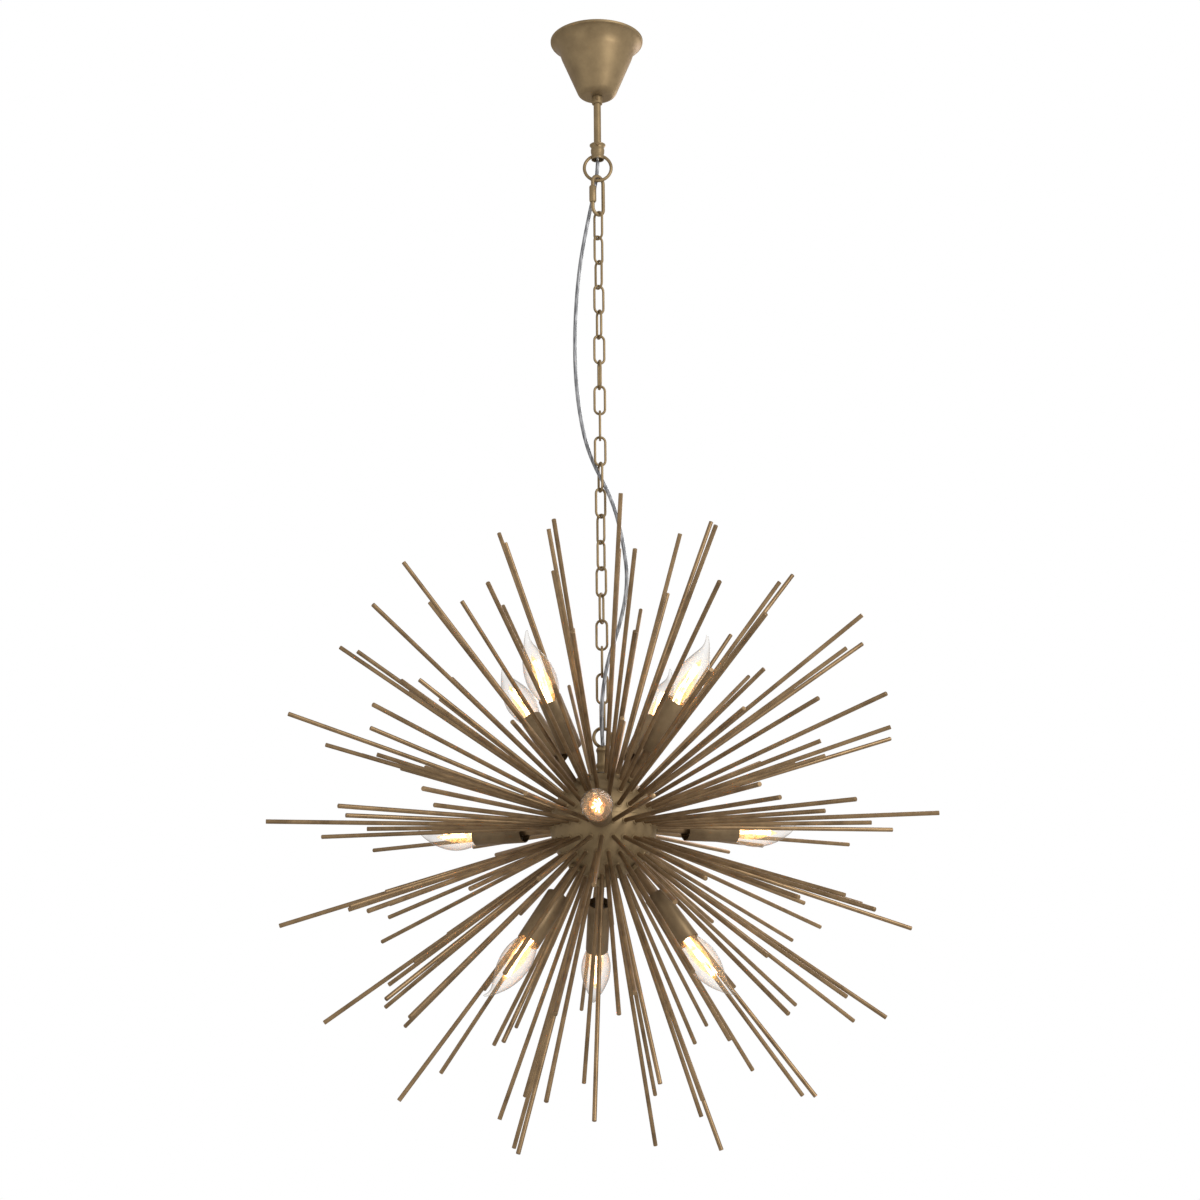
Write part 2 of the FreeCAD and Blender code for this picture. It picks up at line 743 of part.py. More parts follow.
def bulb(number, way):
    """Candle bulb with a bent tip: a screw cap in the lampholder and the glass above it."""
    cap_start = size("holder_floor") + gap
    cap_end = size("holder_length") + gap
    cap_radius = size("bulb_cap_diameter") / 2
    cap_shape = ngon_loft([(cap_start, cap_radius, 0), (cap_end, cap_radius, 0)])
    glass = size("bulb_glass_length")
    rings = [
        (cap_end + along * glass, wide * size("bulb_diameter") / 2, bend * size("bulb_tip_bend"))
        for along, wide, bend in BULB_RINGS
    ]
    shape = Part.makeCompound([cap_shape, ngon_loft(rings)])
    return feature(f"bulb_{number:02d}", shape, Placement(hub_centre + way * holder_start, bulb_turn(way)))


def bulb_turn(way):
    """Turns a bulb's Z axis to its lamp's, and the bend of its tip upwards."""
    side = UP.cross(way).normalize()
    return Rotation(way.cross(side), side, way, "ZXY")


def ngon_loft(rings):
    """Solid through regular polygons at (height, radius, shift along X)."""
    wires = []
    for height, radius, shift in rings:
        corners = [
            Vector(shift + radius * math.cos(2 * math.pi * i / BULB_SIDES),
                   radius * math.sin(2 * math.pi * i / BULB_SIDES), height)
            for i in range(BULB_SIDES)
        ]
        wires.append(corners)
    faces = [polygon_face(wires[0]), polygon_face(wires[-1])]
    for near, far in zip(wires, wires[1:]):
        for i in range(BULB_SIDES):
            k = (i + 1) % BULB_SIDES
            faces.append(polygon_face([near[i], near[k], far[k], far[i]]))
    return solid_of(faces)


ways = lamp_ways()
parts = [
    ceiling_bracket(), canopy(), collar(), collar_screw(), stem(), stem_lock_nut(), stem_cap(), cap_pin(),
    cap_screw(), hanging_ring(), quick_link(), quick_link_nut(), chain(), power_cord(), hub_loop(),
    turned("hub_upper_shell", hub_profile(0.5, 4.5)),
    turned("hub_lower_shell", hub_profile(-4.5, 0.5)),
    hub_tube(), terminal_ring(), hub_inner_nut(), bottom_cap(),
]
parts += [rod_row(*row) for row in ROWS]
parts += [lamp_nipples(ways), lamp_nuts(ways), lamp_discs(ways), lamp_sleeves(ways), lampholders(ways)]
parts += [bulb(number, way) for number, way in enumerate(ways, start=1)]
doc.recompute()

for thing in doc.Objects:
    if "Invalid" in thing.State or "Error" in thing.State:
        raise RuntimeError(f"{thing.Name} failed: {thing.State}")
for thing in parts:
    thing.Label = thing.Name
    if thing.Shape.isNull() or not thing.Shape.isValid():
        raise RuntimeError(f"{thing.Name} has no valid shape")
    if not thing.Shape.Solids:
        raise RuntimeError(f"{thing.Name} has no solid")

os.makedirs("parts", exist_ok=True)
for thing in parts:
    thing.Shape.exportStep(f"parts/{thing.Label}.step")
    print(f"{thing.Label}: {len(thing.Shape.Solids)} solids, {thing.Shape.Volume:.0f} mm3")
print(f"hub centre z {hub_z:.2f}, ring z {ring_z:.2f}, pin z {pin_z:.2f}, ring foot z {ring_foot_z:.2f}")
print(f"quick z {quick_z:.2f}, chain seat z {chain_seat_z:.2f}, loop collar top z {collar_top_z:.2f}")
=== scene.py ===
import math

import bpy
from mathutils import Euler, Matrix, Vector


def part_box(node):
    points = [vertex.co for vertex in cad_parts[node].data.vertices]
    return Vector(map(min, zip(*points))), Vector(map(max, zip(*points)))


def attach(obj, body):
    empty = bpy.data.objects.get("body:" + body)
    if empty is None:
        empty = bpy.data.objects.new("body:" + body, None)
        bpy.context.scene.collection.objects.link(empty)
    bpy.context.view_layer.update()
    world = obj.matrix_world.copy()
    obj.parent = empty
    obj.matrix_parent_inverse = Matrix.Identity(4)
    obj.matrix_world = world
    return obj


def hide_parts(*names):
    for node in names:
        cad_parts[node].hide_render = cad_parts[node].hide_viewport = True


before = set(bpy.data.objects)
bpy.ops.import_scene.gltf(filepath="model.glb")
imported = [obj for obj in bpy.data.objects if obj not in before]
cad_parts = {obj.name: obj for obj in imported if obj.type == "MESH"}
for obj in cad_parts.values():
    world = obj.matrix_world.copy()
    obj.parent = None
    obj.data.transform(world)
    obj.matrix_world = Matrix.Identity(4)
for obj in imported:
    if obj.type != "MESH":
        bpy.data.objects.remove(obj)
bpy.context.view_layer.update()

MM = 0.001

# ---- The view. A long lens stands in front of the hub and a little below it, tilted up to take in the
# canopy, with a slight roll.
hub_low, hub_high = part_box("hub_lower_shell"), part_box("hub_upper_shell")
HUB_RADIUS = (hub_high[1][2] - hub_low[0][2]) / 2
HUB = Vector((0, 0, hub_low[0][2] + HUB_RADIUS))
FRAME_PIXELS = 1200
FOCAL_PIXELS = 2080
SENSOR_MM = 36
CAMERA_DISTANCE = 2.38
CAMERA_BELOW = math.tan(math.radians(6.5))
TILT = math.radians(12.7)
ROLL = math.radians(0.5)
forward = Vector((0, math.cos(TILT), math.sin(TILT)))
level_right = Vector((1, 0, 0))
level_up = level_right.cross(forward)
right = level_right * math.cos(ROLL) - level_up * math.sin(ROLL)
up = level_up * math.cos(ROLL) + level_right * math.sin(ROLL)
camera = bpy.data.objects.new("camera", bpy.data.cameras.new("camera"))
bpy.context.scene.collection.objects.link(camera)
camera.matrix_world = Matrix((right, up, -forward)).transposed().to_4x4()
camera.location = HUB - Vector((0, CAMERA_DISTANCE, CAMERA_DISTANCE * CAMERA_BELOW))
camera.data.sensor_width = SENSOR_MM
camera.data.lens = SENSOR_MM * FOCAL_PIXELS / FRAME_PIXELS
camera.data.shift_x = -1.5 / FRAME_PIXELS
bpy.context.scene.camera = camera
bpy.context.scene.view_settings.view_transform = "Standard"


# ---- The studio. White surroundings that brass and glass show too, a large soft key on the right, a weak
# fill on the left, a light from behind, and a pale floor well below the rods.
class Socket:
    """A socket in a node tree. Sums on it read as sums, and make() adds any other node."""

    def __init__(self, tree, socket=None):
        self.tree, self.socket = tree, socket

    def make(self, kind, settings=None, values=None, out=0):
        node = self.tree.nodes.new(kind)
        for key, value in (settings or {}).items():
            if key == "stops":
                ramp = node.color_ramp
                while len(ramp.elements) < len(value):
                    ramp.elements.new(0.5)
                for element, (place, colour) in zip(ramp.elements, value):
                    element.position = place
                    element.color = (*colour, 1)
            else:
                setattr(node, key, value)
        for key, value in (values or {}).items():
            socket = node.inputs[key]
            if isinstance(value, Socket):
                self.tree.links.new(value.socket, socket)
            else:
                socket.default_value = (*value, 1) if socket.type == "RGBA" else value
        return Socket(self.tree, node.outputs[out] if node.outputs else None)

    def maths(self, operation, first, second):
        return self.make("ShaderNodeMath", {"operation": operation}, {0: first, 1: second})

    def at_least(self, other):
        return self.maths("MAXIMUM", self, other)

    def __add__(self, other):
        return self.maths("ADD", self, other)

    def __sub__(self, other):
        return self.maths("SUBTRACT", self, other)

    def __mul__(self, other):
        return self.maths("MULTIPLY", self, other)

    def __pow__(self, other):
        return self.maths("POWER", self, other)

    def __rsub__(self, other):
        return self.maths("SUBTRACT", other, self)

    __radd__ = __add__
    __rmul__ = __mul__


STUDIO_FILL = 0.42
world = bpy.data.worlds.new("studio")
bpy.context.scene.world = world
world.use_nodes = True
world.node_tree.nodes.clear()
sky = Socket(world.node_tree)
seen, mirrored, through = (sky.make("ShaderNodeLightPath", out=name) for name in
                           ("Is Camera Ray", "Is Glossy Ray", "Is Transmission Ray"))
white = seen.at_least(mirrored).at_least(through) * (1 - STUDIO_FILL) + STUDIO_FILL
surround = sky.make("ShaderNodeBackground", {}, {"Color": (1.0, 1.0, 1.0), "Strength": white})
sky.make("ShaderNodeOutputWorld", {}, {"Surface": surround})

LIGHTS = [
    ("key", (1.7, -1.9, 0.1), 1.1, 54),
    ("fill", (-2.0, -1.6, -0.9), 2.0, 9),
    ("rim", (0.9, 1.6, -0.2), 1.0, 20),
]
AIM = HUB * 0.8
for name, place, wide, watts in LIGHTS:
    light = bpy.data.lights.new(name, "AREA")
    light.size = wide
    light.energy = watts
    lamp = bpy.data.objects.new(name, light)
    lamp.location = place
    lamp.rotation_euler = (AIM - Vector(place)).to_track_quat("-Z", "Y").to_euler()
    bpy.context.scene.collection.objects.link(lamp)

FLOOR_DROP = 0.75
FLOOR_SIDE = 5
bpy.ops.mesh.primitive_plane_add(size=FLOOR_SIDE, location=(0, 0, HUB.z - FLOOR_DROP))
floor = bpy.context.object
floor.name = "floor"
pale = bpy.data.materials.new("pale_floor")
pale.use_nodes = True
pale.node_tree.nodes["Principled BSDF"].inputs["Base Color"].default_value = (0.9, 0.9, 0.9, 1)
floor.data.materials.append(pale)


# ---- Canopy. A bell spun from brass sheet, with a rolled rim, a cove, a straight cone and a rounded foot
# pierced for the stem. It is finished in satin antique brass, slightly clouded, with darker edges.
def finish(name):
    """A new material, and its empty tree."""
    material = bpy.data.materials.new(name)
    material.use_nodes = True
    material.node_tree.nodes.clear()
    return material, Socket(material.node_tree)


def close(material, surface):
    surface.make("ShaderNodeOutputMaterial", {}, {"Surface": surface})
    return material


EDGE = (0.34, 0.24, 0.15)


def clouded_metal(name, dark, light, rough, metal):
    """Satin finish whose colour and gloss drift in soft clouds, with a fine grain."""
    material, tree = finish(name)
    here = tree.make("ShaderNodeTexCoord", out="Object")
    spread = tree.make("ShaderNodeMapping", {}, {"Vector": here})
    clouds = tree.make("ShaderNodeTexNoise", {}, {"Vector": spread, "Scale": 38.0, "Detail": 4.0,
                                                  "Roughness": 0.6})
    grain = tree.make("ShaderNodeTexNoise", {}, {"Vector": spread, "Scale": 900.0, "Detail": 2.0})
    middle = tuple((a + b) / 2 for a, b in zip(dark, light))
    colour = tree.make("ShaderNodeValToRGB", {"stops": [(0.2, dark), (0.5, middle), (0.85, light)]},
                       {"Fac": clouds * 0.9 + grain * 0.1})
    dimple = tree.make("ShaderNodeBump", {}, {"Height": clouds, "Strength": 0.05, "Distance": 0.0003})
    surface = tree.make("ShaderNodeBsdfPrincipled", {}, {
        "Base Color": colour, "Metallic": metal, "Specular Tint": EDGE,
        "Roughness": clouds * 0.14 + (rough - 0.07), "Normal": dimple})
    return close(material, surface)


brass = clouded_metal("antique_brass", (0.15, 0.105, 0.056), (0.29, 0.21, 0.112), rough=0.46, metal=0.5)


def smooth(piece, degrees=32):
    piece.data.shade_smooth()
    piece.data.set_sharp_from_angle(angle=math.radians(degrees))
    return piece


def rings_mesh(name, rings, closed=False):
    """Mesh through rings of points. A ring of one point is a pole, and a closed one joins its ends."""
    points, starts, faces = [], [], []
    for ring in rings:
        starts.append(len(points))
        points += ring
    pairs = list(zip(range(len(rings)), range(1, len(rings))))
    if closed:
        pairs.append((len(rings) - 1, 0))
    for near, far in pairs:
        a, b = rings[near], rings[far]
        count = max(len(a), len(b))
        for i in range(count):
            k = (i + 1) % count
            corners = [starts[near] + i % len(a), starts[near] + k % len(a),
                       starts[far] + k % len(b), starts[far] + i % len(b)]
            corners = list(dict.fromkeys(corners))
            if len(corners) > 2:
                faces.append(corners)
    mesh = bpy.data.meshes.new(name)
    mesh.from_pydata([tuple(p) for p in points], [], faces)
    mesh.validate()
    piece = bpy.data.objects.new(name, mesh)
    bpy.context.scene.collection.objects.link(piece)
    bpy.context.view_layer.objects.active = piece
    piece.select_set(True)
    bpy.ops.object.mode_set(mode="EDIT")
    bpy.ops.mesh.select_all(action="SELECT")
    bpy.ops.mesh.normals_make_consistent(inside=False)
    bpy.ops.object.mode_set(mode="OBJECT")
    piece.select_set(False)
    return piece


def turned(name, profile, steps=48, closed=False):
    """Piece turned about Z from (radius, z) points."""
    rings = []
    for radius, z in profile:
        turns = [2 * math.pi * i / steps for i in range(steps if radius > 0 else 1)]
        rings.append([Vector((radius * math.cos(a), radius * math.sin(a), z)) for a in turns])
    return smooth(rings_mesh(name, rings, closed))


def arc(centre, radius, start, end, count):
    """Points of an arc in a profile, in degrees."""
    turns = [math.radians(start + (end - start) * i / count) for i in range(count + 1)]
    return [(centre[0] + radius * math.cos(a), centre[1] + radius * math.sin(a)) for a in turns]


def dress(piece, material, body, *nodes):
    """Gives a finished piece its material, its body and the solids that it stands for."""
    piece.data.materials.clear()
    piece.data.materials.append(material)
    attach(piece, body)
    if nodes:
        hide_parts(*nodes)
    return piece


CANOPY_WALL = 1.2 * MM
ROLLED_RIM = 1.6 * MM
FOOT_CORNER = 9 * MM
STEM_HOLE = 4.9 * MM
rim = (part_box("canopy")[1][0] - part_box("canopy")[0][0]) / 2
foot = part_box("canopy")[0][2]
bell = arc((rim - ROLLED_RIM, -ROLLED_RIM), ROLLED_RIM, 0, -80, 5)
bell += [(rim - inward * MM, -depth * MM) for inward, depth in ((3.5, 4.2), (7, 8), (10.5, 13.5), (12.6, 19))]
bell += [(radius * MM, -depth * MM) for radius, depth in ((44.5, 20.6), (44.1, 21.6), (43.6, 23), (40, 31.6))]
bell = [(rim, 0)] + bell + arc((16 * MM, foot + FOOT_CORNER), FOOT_CORNER, -22.5, -90, 8)
inside_bell = [(max(radius - CANOPY_WALL, 6 * MM), z + CANOPY_WALL * (z < -10 * MM)) for radius, z in bell]
canopy = turned("canopy_bell", bell + [(STEM_HOLE, foot), (STEM_HOLE, foot + CANOPY_WALL)]
                + inside_bell[::-1], 96, closed=True)
dress(smooth(canopy, 60), brass, "canopy", "canopy")

# ---- Collar. A turned brass ring with eased edges that clamps the canopy to the stem. Its small set screw
# stands out at the front.
COLLAR_BORE = 4.6 * MM
EASE = 0.6 * MM
collar_low, collar_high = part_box("canopy_collar")
collar_radius = (collar_high[0] - collar_low[0]) / 2
collar = turned("clamp_collar", [
    (COLLAR_BORE, collar_low[2]), (collar_radius - EASE, collar_low[2]),
    (collar_radius, collar_low[2] + EASE), (collar_radius, collar_high[2] - EASE),
    (collar_radius - EASE, collar_high[2]), (COLLAR_BORE, collar_high[2]),
], 48, closed=True)
dress(collar, brass, "canopy", "canopy_collar")

rod_brass = clouded_metal("rod_brass", (0.1, 0.064, 0.034), (0.34, 0.228, 0.122), rough=0.38, metal=0.55)


def set_screw(name, node, body):
    """Headless screw with an eased end that stands out at the front."""
    low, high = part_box(node)
    radius = (high[0] - low[0]) / 2
    length = high[1] - low[1]
    screw = turned(name, [(0, 0), (radius * 0.7, 0), (radius, radius * 0.3), (radius, length),
                          (0, length)], 24)
    middle = Matrix.Translation((0, low[1], (low[2] + high[2]) / 2))
    screw.data.transform(middle @ Matrix.Rotation(math.radians(-90), 4, "X"))
    return dress(screw, rod_brass, body, node)


set_screw("collar_screw", "collar_set_screw", "canopy")

# ---- Stem. A plain drawn brass tube from the ceiling bracket down to the cup. The canopy slides on it, and
# the cord runs through it.
STEM_BORE = 3.25 * MM
stem_low, stem_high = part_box("stem")
stem_radius = (stem_high[0] - stem_low[0]) / 2
stem = turned("stem_tube", [(STEM_BORE, stem_low[2]), (stem_radius, stem_low[2]),
                            (stem_radius, stem_high[2]), (STEM_BORE, stem_high[2])], 40, closed=True)
dress(stem, brass, "ceiling_mount", "stem")

# ---- Cup on the stem's end. Turned brass with a flared lip, a waist and a rolled lower lip, open below,
# slotted across for the ring, and held by its own set screw.
CUP_OUTSIDE = [  # share of the lip's radius, share of the height
    (0.94, 1.0), (1.0, 0.98), (1.0, 0.93), (0.93, 0.89), (0.83, 0.82), (0.8, 0.76), (0.82, 0.7),
    (0.86, 0.64), (0.85, 0.5), (0.81, 0.22), (0.83, 0.17), (0.84, 0.1), (0.83, 0.04), (0.79, 0.0),
]
CUP_BORE = 7.1 * MM
CUP_FIT = stem_radius + 0.1 * MM
SLOT_TOOL = (40 * MM, 5.2 * MM, 18 * MM)
cup_low, cup_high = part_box("stem_cap")
lip = (cup_high[0] - cup_low[0]) / 2
cup_height = cup_high[2] - cup_low[2]
cup_profile = [(CUP_FIT, cup_high[2])]
cup_profile += [(share * lip, cup_low[2] + height * cup_height) for share, height in CUP_OUTSIDE]
cup_profile += [(CUP_BORE, cup_low[2]), (CUP_BORE, cup_low[2] + 0.68 * cup_height),
                (CUP_FIT, cup_low[2] + 0.7 * cup_height)]
cup = turned("slotted_cup", cup_profile, 56, closed=True)
bpy.ops.mesh.primitive_cube_add(size=1)
slot_tool = bpy.context.object
slot_tool.scale = SLOT_TOOL
slot_tool.location.z = cup_low[2]
cup.modifiers.new("slot", "BOOLEAN").object = slot_tool
bpy.context.view_layer.update()
cup.data = bpy.data.meshes.new_from_object(cup.evaluated_get(bpy.context.evaluated_depsgraph_get()))
cup.modifiers.clear()
bpy.data.objects.remove(slot_tool)
dress(smooth(cup), brass, "ceiling_mount", "stem_cap")
set_screw("cap_screw", "cap_set_screw", "ceiling_mount")


# ---- Ring and quick link. Bent round brass wire: the ring hangs on the cup's pin, and the quick link hangs
# in the ring at a slant, with a gap in one side that a long screwed nut closes.
def as_mesh(thing, name):
    """A plain mesh object of what a modifier or a curve makes."""
    bpy.context.scene.collection.objects.link(thing)
    bpy.context.view_layer.update()
    mesh = bpy.data.meshes.new_from_object(thing.evaluated_get(bpy.context.evaluated_depsgraph_get()))
    bpy.data.objects.remove(thing)
    mesh.name = name
    piece = bpy.data.objects.new(name, mesh)
    bpy.context.scene.collection.objects.link(piece)
    return piece


def wire_curve(name, paths, radius, roundness, closed):
    """Curve object of round wire along each path."""
    curve = bpy.data.curves.new(name, "CURVE")
    curve.dimensions = "3D"
    curve.bevel_depth = radius
    curve.bevel_resolution = roundness
    for path in paths:
        spline = curve.splines.new("POLY")
        spline.points.add(len(path) - 1)
        for point, place in zip(spline.points, path):
            point.co = (*place, 1)
        spline.use_cyclic_u = closed
    return bpy.data.objects.new(name, curve)


def wire_loop(name, points, radius, closed=True):
    thing = wire_curve(name, [points], radius, 4, closed)
    thing.data.use_fill_caps = not closed
    return smooth(as_mesh(thing, name), 50)


def round_loop(radius, steps):
    turns = [2 * math.pi * i / steps for i in range(steps)]
    return [Vector((radius * math.cos(a), 0, radius * math.sin(a))) for a in turns]


def long_loop(length, width, wire, steps=12):
    """Centre line of a long link in XZ: the upper bend from the right, the lower one from the left."""
    half = (width - wire) / 2
    rise = (length - width) / 2
    return [Vector((end * half * math.cos(math.pi * i / steps), 0,
                    end * (rise + half * math.sin(math.pi * i / steps))))
            for end in (1, -1) for i in range(steps + 1)]


RING_ACROSS = 37 * MM
RING_WIRE = 4 * MM
ring_low, ring_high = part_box("hanging_ring")
ring = wire_loop("round_ring", round_loop((RING_ACROSS - RING_WIRE) / 2, 72), RING_WIRE / 2)
ring.data.transform(Matrix.Translation((0, 0, (ring_low[2] + ring_high[2]) / 2)))
dress(ring, brass, "ring", "hanging_ring")

QUICK_WIRE = 4.5 * MM
QUICK_WIDTH = 21 * MM
QUICK_TURN = math.radians(40)
GAP_FROM, GAP_TO = 5 * MM, 10 * MM
quick_low, quick_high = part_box("quick_link")
quick_middle = (quick_low[2] + quick_high[2]) / 2
quick_place = Matrix.Translation((0, 0, quick_middle)) @ Matrix.Rotation(QUICK_TURN, 4, "Z")
quick_points = long_loop(quick_high[2] - quick_low[2], QUICK_WIDTH, QUICK_WIRE)
bend = len(quick_points) // 2
quick_side = (QUICK_WIDTH - QUICK_WIRE) / 2
quick_points = ([Vector((-quick_side, 0, GAP_FROM))] + quick_points[bend:] + quick_points[:bend]
                + [Vector((-quick_side, 0, GAP_TO))])
quick_link = wire_loop("quick_link_wire", quick_points, QUICK_WIRE / 2, closed=False)
quick_link.data.transform(quick_place)
dress(quick_link, brass, "chain", "quick_link")

NUT_RADIUS = 4.4 * MM
NUT_HALF = 10.5 * MM
NUT_HOLE = QUICK_WIRE / 2 + 0.1 * MM
NUT_EASE = 1.4 * MM
quick_nut = turned("sleeve_nut", [
    (NUT_HOLE, -NUT_HALF), (NUT_RADIUS * 0.82, -NUT_HALF), (NUT_RADIUS, NUT_EASE - NUT_HALF),
    (NUT_RADIUS, NUT_HALF - NUT_EASE), (NUT_RADIUS * 0.82, NUT_HALF), (NUT_HOLE, NUT_HALF),
], 12, closed=True)
quick_nut.data.transform(quick_place @ Matrix.Translation((-quick_side, 0, 0)))
dress(quick_nut, brass, "link_nut", "quick_link_nut")


# ---- Chain. Twenty long welded links of round brass wire, each square to its neighbours apart from the
# chain's slow twist, which turns one way above the ninth link and the other way below it.
def repeat_tree():
    """Tree that sets a pattern piece on every point, turned and stretched lengthwise as the point says."""
    group = bpy.data.node_groups.new("set_out_pieces", "GeometryNodeTree")
    for name, side, kind in (("Geometry", "INPUT", "Geometry"), ("Pattern", "INPUT", "Object"),
                             ("Finish", "INPUT", "Material"), ("Geometry", "OUTPUT", "Geometry")):
        group.interface.new_socket(name, in_out=side, socket_type=f"NodeSocket{kind}")
    tree = Socket(group)
    points, pattern, coat = (tree.make("NodeGroupInput", out=name)
                             for name in ("Geometry", "Pattern", "Finish"))
    piece = tree.make("GeometryNodeObjectInfo", {}, {"Object": pattern}, out="Geometry")
    turn, stretch = (
        tree.make("GeometryNodeInputNamedAttribute", {"data_type": kind}, {"Name": name}, out="Attribute")
        for name, kind in (("turn", "FLOAT_VECTOR"), ("stretch", "FLOAT")))
    as_turn = tree.make("FunctionNodeEulerToRotation", {}, {0: turn})
    grow = tree.make("ShaderNodeCombineXYZ", {}, {"X": 1, "Y": 1, "Z": stretch})
    placed = tree.make("GeometryNodeInstanceOnPoints", {}, {
        "Points": points, "Instance": piece, "Rotation": as_turn, "Scale": grow})
    real = tree.make("GeometryNodeRealizeInstances", {}, {0: placed})
    coated = tree.make("GeometryNodeSetMaterial", {}, {"Geometry": real, "Material": coat})
    tree.make("NodeGroupOutput", {}, {0: coated})
    return group


set_out = repeat_tree()


def repeated(name, pattern, places, material, body, *nodes):
    """One mesh of a pattern piece at every (point, turn, stretch)."""
    mesh = bpy.data.meshes.new(name)
    mesh.from_pydata([tuple(point) for point, _, _ in places], [], [])
    mesh.attributes.new("turn", "FLOAT_VECTOR", "POINT")
    mesh.attributes.new("stretch", "FLOAT", "POINT")
    turns = [angle for _, turn, _ in places for angle in turn.to_euler()]
    mesh.attributes["turn"].data.foreach_set("vector", turns)
    mesh.attributes["stretch"].data.foreach_set("value", [stretch for _, _, stretch in places])
    thing = bpy.data.objects.new(name, mesh)
    modifier = thing.modifiers.new("set_out", "NODES")
    modifier.node_group = set_out
    inputs = {s.name: s.identifier for s in set_out.interface.items_tree if s.in_out == "INPUT"}
    modifier[inputs["Pattern"]] = pattern
    modifier[inputs["Finish"]] = material
    piece = smooth(as_mesh(thing, name), 40)
    bpy.data.objects.remove(pattern)
    return dress(piece, material, body, *nodes)


LINKS = 20
LINK_LENGTH = 38.2 * MM
LINK_WIDTH = 15.5 * MM
LINK_WIRE = 3 * MM
SQUARE_LINK = 9
TWIST_ABOVE, TWIST_BELOW = -6, 10
chain_low, chain_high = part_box("chain_links")
link_pitch = (chain_high[2] - chain_low[2] - LINK_LENGTH) / (LINKS - 1)
link_pattern = wire_loop("link_pattern", long_loop(LINK_LENGTH, LINK_WIDTH, LINK_WIRE, 9), LINK_WIRE / 2)
link_places = []
for number in range(1, LINKS + 1):
    past = number - SQUARE_LINK
    twist = 90 * (number % 2) + (TWIST_BELOW if past > 0 else TWIST_ABOVE) * past
    middle = Vector((0, 0, chain_high[2] - LINK_LENGTH / 2 - (number - 1) * link_pitch))
    link_places.append((middle, Euler((0, 0, math.radians(twist))).to_quaternion(), 1))
repeated("long_link_chain", link_pattern, link_places, brass, "chain", "chain_links")

# ---- Power cord. Clear sheath over tinned strands: out of the cup, left of the chain, through the eleventh
# link, down on the right, and into the hub's collar from the front.
CORD_ROUTE = [
    (0, 4.6, -159.4), (-1, 6.2, -178), (-6, 9, -204), (-15, 9, -247), (-24, 8, -300), (-29, 7, -360),
    (-30, 8, -420), (-25.5, 9, -478), (-14.1, 8.2, -535), (14.1, -8.2, -595), (26, -10, -646),
    (31.5, -9, -696), (22, -9, -745), (6, -10.5, -790), (-1, -11, -836), (-1, -10.5, -868), (0, -6.6, -888),
]
CORD_DIAMETER = 4.5 * MM
cord_curve = bpy.data.curves.new("clear_cord", "CURVE")
cord_curve.dimensions = "3D"
cord_curve.bevel_depth = CORD_DIAMETER / 2
cord_curve.bevel_resolution = 4
cord_curve.use_fill_caps = True
cord_curve.resolution_u = 12
cord_line = cord_curve.splines.new("NURBS")
cord_line.points.add(len(CORD_ROUTE) - 1)
for point, place in zip(cord_line.points, CORD_ROUTE):
    point.co = (*(c * MM for c in place), 1)
cord_line.order_u = 3
cord_line.use_endpoint_u = True
cord = bpy.data.objects.new("clear_cord", cord_curve)
bpy.context.scene.collection.objects.link(cord)
strands, tree = finish("clear_sheath")
lay = tree.make("ShaderNodeMapping", {}, {"Vector": tree.make("ShaderNodeTexCoord", out="Object"),
                                          "Scale": (900.0, 900.0, 60.0)})
wires = tree.make("ShaderNodeTexNoise", {}, {"Vector": lay, "Scale": 1.0, "Detail": 2.0})
silver = tree.make("ShaderNodeValToRGB", {"stops": [
    (0.36, (0.07, 0.07, 0.075)), (0.5, (0.2, 0.2, 0.205)), (0.66, (0.42, 0.42, 0.43))]}, {"Fac": wires})
close(strands, tree.make("ShaderNodeBsdfPrincipled", {}, {
    "Base Color": silver, "Metallic": 0.15, "Roughness": 0.45, "Specular IOR Level": 0.35}))
dress(cord, strands, "chain", "power_cord")

# ---- Hub loop. An eye of round wire on a turned brass collar with two beads. It screws on the hub's middle
# tube and hangs in the lowest link.
LOOP_WIRE = 4 * MM
LOOP_RADIUS = 11 * MM
LOOP_TURN = math.radians(20)
LOOP_COLLAR = 8 * MM
loop_low, loop_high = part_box("hub_loop")
loop_z = loop_high[2] - LOOP_WIRE / 2 - LOOP_RADIUS
eye = wire_loop("loop_eye", round_loop(LOOP_RADIUS, 60), LOOP_WIRE / 2)
eye.data.transform(Matrix.Translation((0, 0, loop_z)) @ Matrix.Rotation(LOOP_TURN, 4, "Z"))
dress(eye, brass, "hub", "hub_loop")
collar_top = loop_z - LOOP_RADIUS
drop = collar_top - loop_low[2]
beaded = [(0, collar_top + 1.5 * MM), (4 * MM, collar_top + 1 * MM), (6.6 * MM, collar_top - 0.5 * MM)]
for share, radius in ((0.08, 0.95), (0.14, 1.0), (0.2, 0.9), (0.26, 0.84), (0.6, 0.84), (0.66, 0.96),
                      (0.72, 1.0), (0.78, 0.96), (0.84, 0.86), (0.98, 0.9)):
    beaded.append((radius * LOOP_COLLAR, collar_top - share * drop))
loop_collar = turned("loop_collar", beaded + [(0, collar_top - 0.98 * drop)], 40)
dress(loop_collar, brass, "hub")

